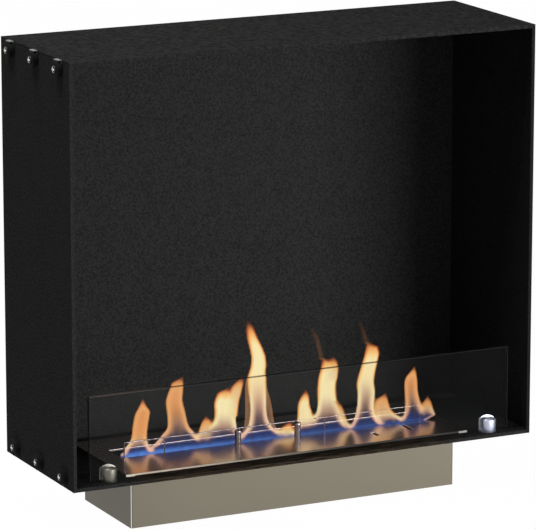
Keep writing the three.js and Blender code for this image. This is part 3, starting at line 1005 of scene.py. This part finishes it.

# Each tongue has its warmth, its fill height, how dense it is, and its stations from foot to tip: height,
# middle and half width. They were read off the photograph and brought to mm by its camera.
TONGUES = {
    "flame_1": (1.0, 28, 0.95, (
        (9, -175.6, 17.0), (16, -175.6, 14.3), (22, -173.9, 10.9), (28, -172.9, 9.4),
        (41, -171.3, 9.2), (52, -169.2, 9.1), (57, -168.0, 8.4), (65, -168.2, 3.6), (71, -168.1, 0.5),
    )),
    "flame_2": (0.95, 62, 0.95, (
        (13, -124.8, 33.3), (19, -124.5, 26.1), (26, -123.8, 19.9), (32, -123.4, 14.7),
        (38, -123.8, 12.3), (52, -125.7, 11.0), (65, -128.1, 10.2), (71, -127.6, 9.7),
        (84, -124.4, 7.7), (89, -123.2, 6.2), (93, -118.8, 1.5),
    )),
    "flame_3": (0.70, 20, 0.9, (
        (8, -88.8, 14.0), (19, -88.7, 10.4), (26, -88.4, 7.9), (32, -87.5, 6.7),
        (37, -86.9, 5.2), (42, -87.6, 1.0),
    )),
    "flame_4": (0.0, 42, 1.0, (
        (7, -73.7, 36.7), (12, -73.4, 32.2), (17, -71.8, 26.2), (23, -69.3, 21.5),
        (29, -66.3, 17.5), (36, -63.2, 14.0), (48, -61.9, 13.9), (55, -62.3, 14.2),
        (61, -62.5, 13.0), (67, -63.6, 10.0), (71, -63.5, 6.9), (74, -60.4, 1.5),
    )),
    "flame_5": (0.5, 30, 0.92, (
        (38, -55.0, 5.8), (54, -52.9, 6.6), (65, -50.1, 7.3), (73, -47.7, 6.9),
        (79, -44.8, 5.6), (84, -42.0, 2.2),
    )),
    "flame_6": (0.05, 76, 1.0, (
        (7, -17.0, 30.8), (13, -17.8, 25.2), (18, -18.7, 20.1), (24, -18.7, 14.9),
        (31, -19.2, 11.9), (44, -19.6, 10.1), (57, -20.1, 10.3), (70, -21.1, 11.3),
        (83, -21.7, 11.8), (90, -21.1, 10.6), (96, -19.7, 9.9), (102, -19.2, 9.3),
        (109, -19.5, 8.7), (115, -21.0, 8.1), (122, -23.3, 7.4), (129, -25.9, 6.7),
        (135, -28.0, 6.0), (142, -29.8, 5.1), (147, -30.8, 4.0), (153, -32.6, 1.4),
    )),
    "flame_7": (1.0, 86, 0.34, (
        (8, -17.0, 36.0), (20, -18.1, 22.0), (31, -18.5, 18.9), (44, -19.2, 17.5),
        (57, -20.6, 16.1), (70, -22.6, 14.2), (77, -22.8, 13.4), (83, -21.9, 12.5),
        (88, -20.6, 9.1), (92, -20.2, 3.0),
    )),
    "flame_8": (0.15, 12, 0.9, (
        (6, 15.0, 15.0), (10, 15.0, 13.8), (14, 15.7, 11.2), (19, 18.4, 6.7), (24, 21.7, 1.9),
    )),
    "flame_9": (0.1, 24, 1.0, (
        (11, 44.4, 16.1), (17, 44.0, 13.5), (25, 42.8, 11.6), (30, 41.7, 9.7),
        (37, 40.7, 8.5), (43, 39.9, 7.3), (48, 40.3, 6.6), (54, 41.4, 4.7), (60, 42.4, 1.5),
    )),
    "flame_10": (0.05, 50, 1.0, (
        (8, 66.9, 32.4), (14, 66.9, 27.1), (20, 69.3, 20.9), (27, 70.8, 17.1),
        (34, 71.6, 14.3), (41, 71.3, 12.8), (48, 70.5, 12.0), (62, 70.0, 11.7),
        (74, 71.3, 11.9), (85, 72.8, 10.7), (91, 72.8, 9.5), (93, 71.7, 8.3), (98, 65.2, 1.5),
    )),
    "flame_11": (0.5, 60, 0.8, (
        (70, 75.0, 6.0), (85, 77.5, 5.9), (90, 78.4, 3.8), (96, 78.2, 2.4), (98, 78.5, 1.2),
    )),
    "flame_12": (0.7, 16, 0.75, (
        (6, 99.1, 4.9), (10, 96.2, 4.3), (18, 93.3, 3.8), (25, 90.4, 3.9),
        (32, 88.0, 3.8), (37, 86.4, 3.0), (41, 83.8, 1.1),
    )),
    "flame_13": (0.1, 66, 1.0, (
        (3, 124.0, 25.1), (8, 122.6, 21.2), (15, 121.3, 16.4), (22, 120.8, 12.9),
        (29, 120.9, 11.3), (36, 121.6, 10.6), (49, 122.6, 11.0), (63, 121.4, 11.0),
        (74, 123.4, 10.5), (85, 126.5, 9.9), (96, 129.5, 9.4), (101, 129.8, 8.7),
        (106, 129.3, 7.4), (108, 127.7, 5.5), (112, 124.1, 1.4),
    )),
    "flame_14": (0.8, 20, 0.88, (
        (9, 157.6, 16.1), (14, 153.4, 14.9), (20, 148.3, 12.2), (26, 144.9, 10.3),
        (33, 143.4, 8.9), (40, 143.8, 6.7), (45, 147.0, 1.9),
    )),
    "flame_15": (1.0, 62, 0.95, (
        (5, 187.0, 23.1), (9, 186.5, 18.9), (15, 186.5, 14.2), (22, 186.0, 11.5),
        (29, 185.2, 10.0), (43, 183.0, 8.4), (57, 182.2, 8.1), (64, 182.9, 6.5),
        (69, 184.8, 3.8), (74, 186.3, 1.2),
    )),
    "flame_16": (1.0, 24, 0.78, (
        (7, 202.5, 12.6), (13, 204.2, 10.8), (18, 203.9, 9.0), (24, 204.1, 6.9),
        (29, 204.4, 5.0), (35, 204.7, 1.5),
    )),
    "wisp_1": (1.0, 60, 0.07, (
        (97, 63.3, 2.2), (106, 61.2, 2.5), (114, 59.1, 2.5), (123, 57.0, 2.5),
        (131, 53.2, 2.4), (138, 49.6, 1.9),
    )),
    "wisp_2": (1.0, 60, 0.05, (
        (110, 123.3, 2.3), (116, 121.3, 2.6), (125, 118.6, 2.6), (133, 115.7, 2.2), (141, 112.7, 1.7),
    )),
}


def smooth_share(value, low, high):
    """0 below low, 1 above high and smooth between them."""
    t = min(max((value - low) / (high - low), 0.0), 1.0)
    return t * t * (3 - 2 * t)


def blended(first, second, share):
    return first + (second - first) * share


def eased(values, span, at):
    """Passes smoothly from the first value to the second while a place crosses a span."""
    return blended(*values, smooth_share(at, *span))


def curved(stations, height):
    """Middle and half width of a tongue at a height, on a smooth curve through its stations."""
    last = len(stations) - 1
    i = max(k for k in range(last) if stations[k][0] <= height or k == 0)
    before, start = stations[max(i - 1, 0)], stations[i]
    end, after = stations[i + 1], stations[min(i + 2, last)]
    span = end[0] - start[0]
    t = max((height - start[0]) / span, 0.0)
    found = []
    for axis in (1, 2):
        slope_in = (end[axis] - before[axis]) / (end[0] - before[0]) * span
        slope_out = (after[axis] - start[axis]) / (after[0] - start[0]) * span
        found.append(
            (2 * t**3 - 3 * t**2 + 1) * start[axis]
            + (t**3 - 2 * t**2 + t) * slope_in
            + (3 * t**2 - 2 * t**3) * end[axis]
            + (t**3 - t**2) * slope_out
        )
    return found[0], max(found[1], POINT_HALF)


def flame_line(x):
    """How far back the flames stand, which come forward a little towards the right."""
    return FLAME_LINE_Y + FLAME_LINE_SLOPE * (x - FLAME_LINE_X)


def kept_in_slot(x, height):
    """Moves a point near the flame's foot inside the slot's ends."""
    inside = min(max(x, -SLOT_END), SLOT_END)
    return blended(inside, x, smooth_share(height, FLAME_FOOT, SPREAD_HEIGHT))


def stretched_tip(stations):
    """The stations of a tongue with its tip drawn out to a point."""
    before, last = stations[-2], stations[-1]
    lean = (last[1] - before[1]) / (last[0] - before[0])
    return (
        *stations[:-1],
        (last[0], last[1], max(last[2], TIP_HALF)),
        (last[0] + TIP_STRETCH, last[1] + lean * TIP_STRETCH, POINT_HALF),
    )


def layer_alpha(total):
    """The alpha of one of two layers which together show the given alpha."""
    return 1 - math.sqrt(max(1 - total, 0.0))


def glow_at(inside, height, traits):
    """Heat, alpha and orange of a flame at a depth inside its outline, for the traits of its tongue."""
    warmth, filled, dense, tip = traits
    rib = math.exp(-(((inside - RIB_INSET) / RIB_WIDTH) ** 2)) * smooth_share(height, *RIB_HEIGHTS)
    fringe = 1 - smooth_share(inside, 0.0, FRINGE_WIDTH)
    hollow_heat = eased(HOLLOW_HEATS, HOLLOW_HEAT_HEIGHTS, height)
    hollow_body = eased(HOLLOW_BODIES, HOLLOW_BODY_HEIGHTS, height)
    low_heat = blended(hollow_heat, eased(RIB_HEATS, RIB_HEAT_HEIGHTS, height), rib)
    low_body = blended(hollow_body, RIB_BODY, rib)
    full_heat = FILL_HEAT + FRINGE_HEAT * fringe
    full_body = FILL_BODY - WARM_THINNING * warmth * (1 - rib)
    heat = blended(low_heat, full_heat, filled) + TIP_HEAT * tip
    body = blended(low_body, full_body, filled) * dense * smooth_share(inside, -HALO, SOFT_EDGE)
    orange = warmth * smooth_share(heat, *ORANGE_HEATS) * smooth_share(height, *ORANGE_HEIGHTS)
    for place, lost in zip((tip, rib), ORANGE_LOST):
        orange *= 1 - lost * place
    return min(heat, 1.0), layer_alpha(body), orange


def tongue_traits(height, tip_height, warmth, fill, dense):
    """Warmth, filled share, density and closeness to the tip at a height."""
    filled = smooth_share(height, *(share * fill for share in FILL_SPAN))
    fade_depth = max(TIP_FADE, TIP_FADE_SHARE * tip_height)
    fade = 1 - smooth_share(height, tip_height - fade_depth, tip_height)
    tip = 1 - smooth_share(tip_height - height, 0.0, TIP_REACH * fade_depth)
    return warmth, filled, dense * fade, tip


def rings(shape, sides, count):
    """Grows an open tube from a circle, ring by ring: the number and points of each, to be placed."""
    ring = bmesh.ops.create_circle(shape, cap_ends=False, segments=sides, radius=1.0)["verts"]
    edges = list(shape.edges)
    for k in range(count + 1):
        if k:
            made = bmesh.ops.extrude_edge_only(shape, edges=edges)["geom"]
            edges = of_kind(made, bmesh.types.BMEdge)
            ring = of_kind(made, bmesh.types.BMVert)
        yield k, ring


def set_ring(ring, middle, half, height):
    """Lays a ring as the level section of a tongue."""
    depth = min(half * FLAME_DEPTH_SHARE, FLAME_DEPTH_MOST)
    back = flame_line(middle)
    for k, vertex in enumerate(ring):
        angle = 2 * math.pi * k / len(ring)
        x = kept_in_slot(middle + half * math.cos(angle), height)
        vertex.co = Vector((x, back + depth * math.sin(angle), height + CASING_UNDER)) * MM


def tongue(name, warmth, fill, dense, stations):
    """One hollow tongue of flame as a piece of its own, drawn up ring by ring."""
    stations = stretched_tip(stations)
    shape = bmesh.new()
    layers = glow_layers(shape)
    foot, tip = FLAME_FOOT, stations[-1][0]
    count = round((tip - foot) / STATION_STEP)
    for k, ring in rings(shape, FLAME_SIDES, count):
        height = foot + (tip - foot) * k / count
        middle, half = curved(stations, height)
        set_ring(ring, middle, half, height)
        traits = tongue_traits(height, tip, warmth, fill, dense)
        for n, vertex in enumerate(ring):
            inside = (1 - abs(math.cos(2 * math.pi * n / len(ring)))) * half
            store(vertex, layers, glow_at(inside, height, traits))
    top = sum((v.co for v in ring), Vector()) / len(ring)
    bmesh.ops.pointmerge(shape, verts=ring, merge_co=top)
    add_glow(shape, name)


def glow_layers(shape):
    """The values stored at each point of a flame: how hot it is, how dense and how orange."""
    return [shape.verts.layers.float.new(name) for name in GLOW_LAYERS]


def store(vertex, layers, values):
    for layer, value in zip(layers, values):
        vertex[layer] = value


def tongue_rows(tongues, count):
    """For each level of the row of flames: what each tongue is like there."""
    rows = []
    for k in range(count):
        height = FLAME_FOOT + k * FLAME_GRID
        row = []
        for warmth, fill, dense, stations in tongues:
            stations = stretched_tip(stations)
            first, tip = stations[0][0], stations[-1][0]
            foot = first if first > CUT_FOOT else FLAME_FOOT
            if foot <= height <= tip:
                middle, half = curved(stations, height)
                middle_above, half_above = curved(stations, min(height + SLOPE_STEP, tip))
                lean = (middle_above - middle) / SLOPE_STEP
                growth = (half_above - half) / SLOPE_STEP
                limit = height - foot if first > CUT_FOOT else FLAME_TOP
                traits = tongue_traits(height, tip, warmth, fill, dense)
                row.append((middle, half, lean, growth, limit, traits))
        rows.append(row)
    return rows


def smooth_most(first, second):
    """The greater of two depths, rounded off where they are nearly equal."""
    near = max(JOINING - abs(first - second), 0.0) / JOINING
    return max(first, second) + near * near * JOINING / 4


def row_glow(x, height, row):
    """Depth inside the common outline of the flames at a point, and the traits of the flame there."""
    inside = min(BASE_TOP - height, x - BASE_LEFT, BASE_RIGHT - x)
    weight = max(inside + BLEND_REACH, 0.0) ** 2
    total = weight
    sums = [0.0, 0.0, weight, 0.0]
    for middle, half, lean, growth, limit, traits in row:
        side = 1.0 if x > middle else -1.0
        steepness = math.sqrt(1 + (lean + side * growth) ** 2)
        depth = min((half - abs(x - middle)) / steepness, limit)
        inside = smooth_most(inside, depth)
        weight = max(depth + BLEND_REACH, 0.0) ** 2
        total += weight
        sums = [value + weight * trait for value, trait in zip(sums, traits)]
    if total == 0.0:
        return inside, (0.0, 0.0, 0.0, 0.0)
    return inside, [value / total for value in sums]


def flame_row(tongues):
    """The flames that flow into each other in one row on the slot: a net, swelled to a thin pillow."""
    across = round((FLAME_RIGHT - FLAME_LEFT) / FLAME_GRID)
    up = round((FLAME_TOP - FLAME_FOOT) / FLAME_GRID)
    rows = tongue_rows(tongues, up + 1)
    shape = bmesh.new()
    layers = glow_layers(shape)
    swell = shape.verts.layers.float.new("swell")
    bmesh.ops.create_grid(shape, x_segments=across, y_segments=up, size=0.5)
    outside = []
    for vertex in shape.verts:
        x = FLAME_LEFT + (vertex.co.x + 0.5) * across * FLAME_GRID
        level = round((vertex.co.y + 0.5) * up)
        height = FLAME_FOOT + level * FLAME_GRID
        inside, traits = row_glow(x, height, rows[level])
        store(vertex, layers, glow_at(inside, height, traits))
        vertex[swell] = min(max(inside, THINNEST), FLAME_DEPTH_MOST) * FLAME_DEPTH_SHARE
        vertex.co = Vector((kept_in_slot(x, height), flame_line(x), height + CASING_UNDER)) * MM
        if inside < -HALO - 0.5 * FLAME_GRID:
            outside.append(vertex)
    bmesh.ops.delete(shape, geom=outside, context="VERTS")
    bmesh.ops.remove_doubles(shape, verts=shape.verts, dist=WELD)
    made = bmesh.ops.extrude_face_region(shape, geom=list(shape.faces))["geom"]
    rear = set(of_kind(made, bmesh.types.BMVert))
    for vertex in shape.verts:
        vertex.co.y += vertex[swell] * MM * (1 if vertex in rear else -1)
    add_glow(shape, "flame_row")


def add_glow(shape, name):
    """Closes a flame's mesh and lets it ride on the burner, without lighting the steel round it."""
    bmesh.ops.recalc_face_normals(shape, faces=shape.faces)
    mesh = to_mesh(shape, name)
    mesh.shade_smooth()
    mesh.materials.append(glow)
    made = piece(name, mesh, "burner")
    made.visible_diffuse = False
    made.visible_shadow = False


BLUE_LEFT = -197.0
BLUE_RIGHT = 210.0
BLUE_STEP = 2.0
BLUE_SIDES = 24
BLUE_MIDDLE = 8.0
BLUE_RISE = 9.0
BLUE_DEPTH = 6.0
BLUE_ENDS = 24  # the greater, the blunter the band's ends
BLUE_WAVES = ((0.22, 7.3, 0.0), (0.15, 3.1, 1.0))  # share of its rise, length in mm and shift
BLUE_HEAT = 0.12
BLUE_HEAT_HEIGHTS = (5.0, 11.0)
BLUE_BODY = 0.52
BLUE_BODY_HEIGHTS = (5.0, 10.5)
VEIL_BODY = 0.06  # of the faint part above it
VEIL_HEIGHTS = (6.0, 17.0)
BLUE_STRENGTHS = (1.0, 0.40)  # at the left, and from the middle on
BLUE_STRENGTH_XS = (-200.0, 20.0)


def blue_glow(x, height, taper):
    """Heat, density and orange of the blue band at a point."""
    low = 1 - smooth_share(height, *BLUE_BODY_HEIGHTS)
    veil = 1 - smooth_share(height, *VEIL_HEIGHTS)
    strength = eased(BLUE_STRENGTHS, BLUE_STRENGTH_XS, x)
    heat = BLUE_HEAT * smooth_share(height, *BLUE_HEAT_HEIGHTS)
    return heat, strength * (BLUE_BODY * low + VEIL_BODY * veil) * taper, 0.0


def blue_foot():
    """The low blue band from which all the tongues rise."""
    shape = bmesh.new()
    layers = glow_layers(shape)
    count = round((BLUE_RIGHT - BLUE_LEFT) / BLUE_STEP)
    for k, ring in rings(shape, BLUE_SIDES, count):
        x = BLUE_LEFT + (BLUE_RIGHT - BLUE_LEFT) * k / count
        taper = math.sqrt(max(1 - abs(2 * k / count - 1) ** BLUE_ENDS, 0.0))
        waves = sum(share * math.sin(x / length + shift) for share, length, shift in BLUE_WAVES)
        for n, vertex in enumerate(ring):
            angle = 2 * math.pi * n / len(ring)
            rise = BLUE_RISE * (1 + waves) * taper * math.sin(angle) * taper
            height = max(BLUE_MIDDLE + rise, FLAME_FOOT)
            back = flame_line(x) + BLUE_DEPTH * math.cos(angle) * taper
            vertex.co = Vector((kept_in_slot(x, height), back, height + CASING_UNDER)) * MM
            store(vertex, layers, blue_glow(x, height, taper))
    add_glow(shape, "flame_blue_foot")


flame_row([traits for label, traits in TONGUES.items() if label not in DIM_TONGUES])
for label in DIM_TONGUES:
    tongue(label, *TONGUES[label])
blue_foot()


# ---------------- camera, light and floor

CAMERA_PLACE = (-2.0285, -4.2349, 1.0180)
CAMERA_AIM = (0.42886, 0.87561, -0.22221)
CAMERA_LENS = 267.19
SENSOR_WIDTH = 36.0
VIEW_DEPTH = 100.0
LIGHT_AIM = Vector((0.0, -0.1, 0.0))
AMBIENT = 0.18
FLOOR_SIZE = 12.0
FLOOR_OWN_LIGHT = 0.99
GLASS_AND_FLAME_LAYERS = 32  # that a ray may pass


def place_camera():
    """The photograph's camera."""
    data = bpy.data.cameras.new("photo_camera")
    data.lens = CAMERA_LENS
    data.sensor_width = SENSOR_WIDTH
    data.clip_end = VIEW_DEPTH
    camera = bpy.data.objects.new("photo_camera", data)
    camera.rotation_mode = "QUATERNION"
    camera.location = CAMERA_PLACE
    camera.rotation_quaternion = Vector(CAMERA_AIM).to_track_quat("-Z", "Y")
    bpy.context.scene.collection.objects.link(camera)
    bpy.context.scene.camera = camera


def soft_light(name, azimuth, elevation, distance, size, power):
    """A soft box that faces the fireplace. Azimuth 0 is in front of it and 90 to its right."""
    turn, rise = math.radians(azimuth), math.radians(elevation)
    away = Vector((
        math.sin(turn) * math.cos(rise),
        -math.cos(turn) * math.cos(rise),
        math.sin(rise),
    ))
    data = bpy.data.lights.new(name, "AREA")
    data.shape = "RECTANGLE"
    data.size, data.size_y = size
    data.energy = power
    light = bpy.data.objects.new(name, data)
    light.rotation_mode = "QUATERNION"
    light.location = LIGHT_AIM + away * distance
    light.rotation_quaternion = (-away).to_track_quat("-Z", "Y")
    bpy.context.scene.collection.objects.link(light)


def seen_directly(finish):
    """1 for rays from the camera, a mirror or through glass, and 0 for all others."""
    path = finish.node("ShaderNodeLightPath")
    seen = finish.math("MAXIMUM", path["Is Camera Ray"], path["Is Glossy Ray"])
    return finish.math("MAXIMUM", seen, path["Is Transmission Ray"])


def white_world():
    """White where it is seen, and a soft grey light elsewhere."""
    sky = Finish("studio", bpy.data.worlds)
    colour = sky.mix(seen_directly(sky), grey(AMBIENT), grey(1.0))
    background = sky.node("ShaderNodeBackground", values={"Color": colour})[0]
    sky.node("ShaderNodeOutputWorld", values={"Surface": background})
    bpy.context.scene.world = sky.home


def floor_paper():
    """White paper that mostly shines by itself where it is seen, so that only a faint shadow is left."""
    finish = Finish("studio_floor")
    paint = finish.node("ShaderNodeBsdfDiffuse", values={"Color": grey(0.8)})[0]
    shine = finish.node("ShaderNodeEmission", values={"Color": grey(1.0)})[0]
    own_light = FLOOR_OWN_LIGHT * seen_directly(finish)
    paper = finish.node("ShaderNodeMixShader", values={0: own_light, 1: paint, 2: shine})[0]
    finish.node("ShaderNodeOutputMaterial", values={"Surface": paper})
    return finish.home


def pale_floor():
    """A plain white floor at the tank's underside."""
    shape = bmesh.new()
    bmesh.ops.create_grid(shape, x_segments=1, y_segments=1, size=FLOOR_SIZE / 2)
    bmesh.ops.translate(shape, verts=shape.verts, vec=(0.0, 0.0, cad_low.z))
    mesh = to_mesh(shape, "studio_floor")
    mesh.materials.append(floor_paper())
    floor = bpy.data.objects.new("studio_floor", mesh)
    bpy.context.scene.collection.objects.link(floor)


finish_nodes()
place_camera()
white_world()
pale_floor()
soft_light("key_light", azimuth=32.0, elevation=0.0, distance=3.0, size=(1.6, 0.5), power=76.0)
soft_light("top_light", azimuth=-90.0, elevation=72.0, distance=2.0, size=(1.0, 0.8), power=34.0)
soft_light("left_light", azimuth=-105.0, elevation=-10.0, distance=2.5, size=(1.2, 1.0), power=2.0)
bpy.context.scene.view_settings.view_transform = "Standard"
bpy.context.scene.cycles.transparent_max_bounces = GLASS_AND_FLAME_LAYERS
